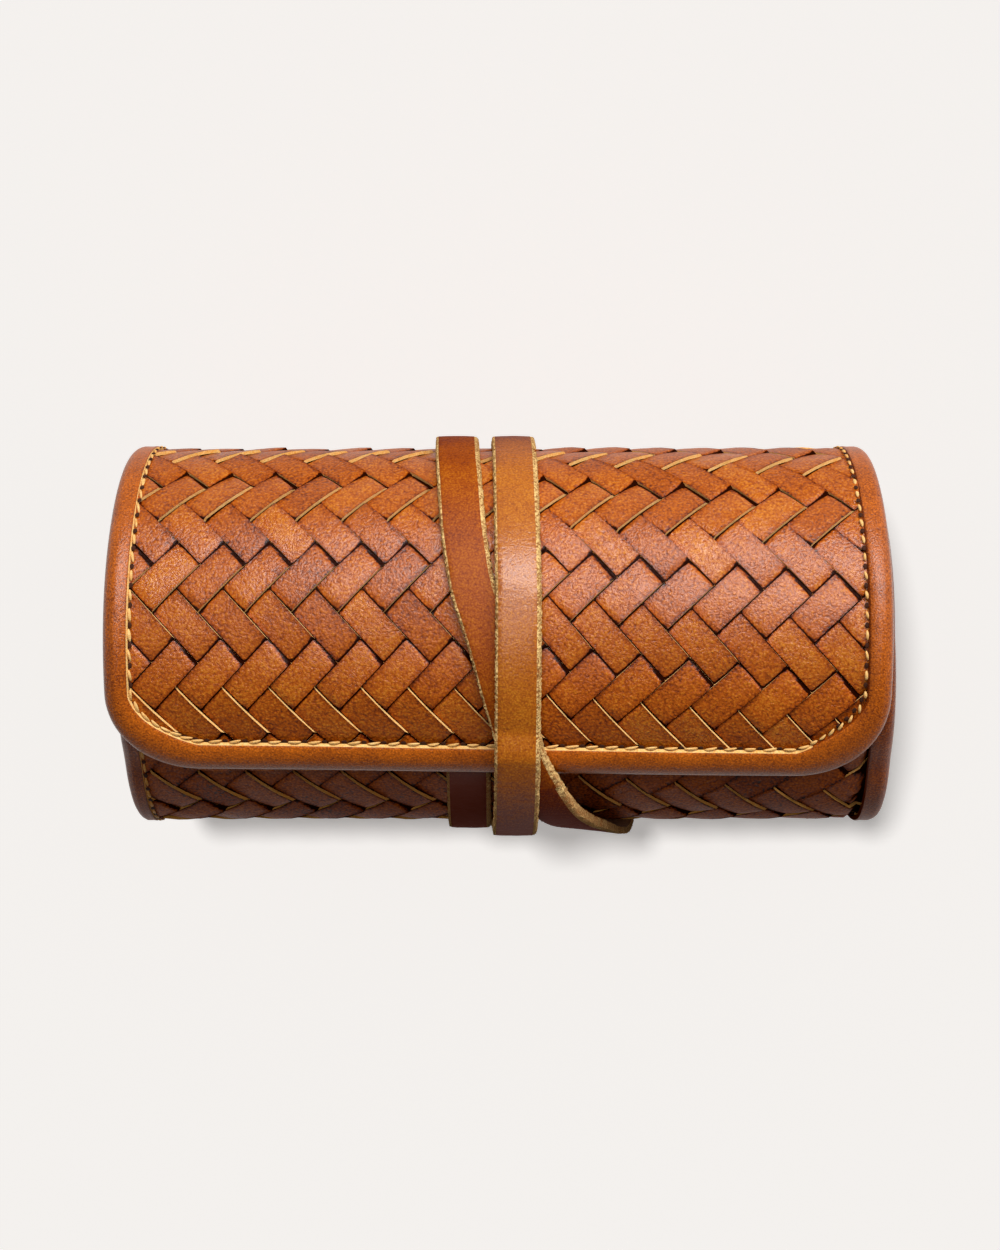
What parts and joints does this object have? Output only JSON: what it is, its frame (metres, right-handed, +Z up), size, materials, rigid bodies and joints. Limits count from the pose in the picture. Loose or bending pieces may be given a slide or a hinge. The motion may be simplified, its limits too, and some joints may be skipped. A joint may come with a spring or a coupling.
{
  "type": "grooming roll",
  "caption": "Woven leather grooming roll, rolled up with a hinged outer flap, bound edges, lined tool pockets inside and a flat leather tie strap wound round its middle.",
  "frame": {"origin": "under the roll's axis, on the flat underside of the strap's main strand, where the roll rests", "axes": "+X along the roll's axis to its right end, +Y to its back, away from the flap's free edge, +Z up"},
  "size_m": [0.2146, 0.1152, 0.1152],
  "materials": {
    "woven_leather": "smooth cognac leather strips, woven in a herringbone, semi-gloss",
    "binding_leather": "smooth tan leather, folded over the edge, semi-gloss",
    "strap_leather": "thick cognac leather with raw cream edges",
    "suede_lining": "soft tan suede, matte",
    "pocket_leather": "thin tan leather, matte",
    "golden_thread": "waxed golden thread"
  },
  "bodies": {
    "roll": {"woven_body_back": "woven_leather", "woven_body_front": "woven_leather", "woven_body_core": "woven_leather", "lining_body_back": "suede_lining", "lining_body_front": "suede_lining", "lining_body_core": "suede_lining", "tool_pocket_panel": "pocket_leather", "pocket_mouth_tape": "binding_leather", "tool_cover_flap": "pocket_leather", "binding_body_left": "binding_leather", "binding_body_right": "binding_leather", "binding_core_end": "binding_leather", "thread_body_left": "golden_thread", "thread_body_right": "golden_thread", "strap_start": "strap_leather", "strap_under_turn": "strap_leather", "anchor_stitching": "golden_thread"},
    "flap_rear": {"woven_flap_rear": "woven_leather", "lining_flap_rear": "suede_lining", "binding_flap_rear_left": "binding_leather", "binding_flap_rear_right": "binding_leather", "thread_flap_rear_left": "golden_thread", "thread_flap_rear_right": "golden_thread", "strap_main_rear": "strap_leather", "strap_left_rear": "strap_leather"},
    "flap_front": {"woven_flap_front": "woven_leather", "lining_flap_front": "suede_lining", "binding_flap_front": "binding_leather", "thread_flap_front": "golden_thread", "strap_main_front": "strap_leather", "strap_left_front": "strap_leather"},
    "strap_drop": {"strap_main_drop": "strap_leather"},
    "strap_tail": {"strap_tail": "strap_leather"}
  },
  "joints": [
    {"name": "flap_lift", "type": "hinge", "parent": "roll", "child": "flap_rear", "pos_m": [0, 0.05663, 0.04444], "axis": [-1, 0, 0], "range_deg": [0, 100]},
    {"name": "flap_unroll", "type": "hinge", "parent": "flap_rear", "child": "flap_front", "pos_m": [0, 0.02875, 0.10422], "axis": [-1, 0, 0], "range_deg": [0, 80]},
    {"name": "strap_release", "type": "hinge", "parent": "flap_front", "child": "strap_drop", "pos_m": [0, -0.04483, 0.09925], "axis": [-1, 0, 0], "range_deg": [0, 140]},
    {"name": "tail_swing", "type": "hinge", "parent": "flap_front", "child": "strap_tail", "pos_m": [0, -0.05154, 0.08418], "axis": [-1, 0, 0], "range_deg": [0, 60]}
  ],
  "couplings": [
    {"joint": "flap_unroll", "follows": "flap_lift", "ratio": 0.8},
    {"joint": "strap_release", "follows": "flap_lift", "ratio": 1.4}
  ]
}
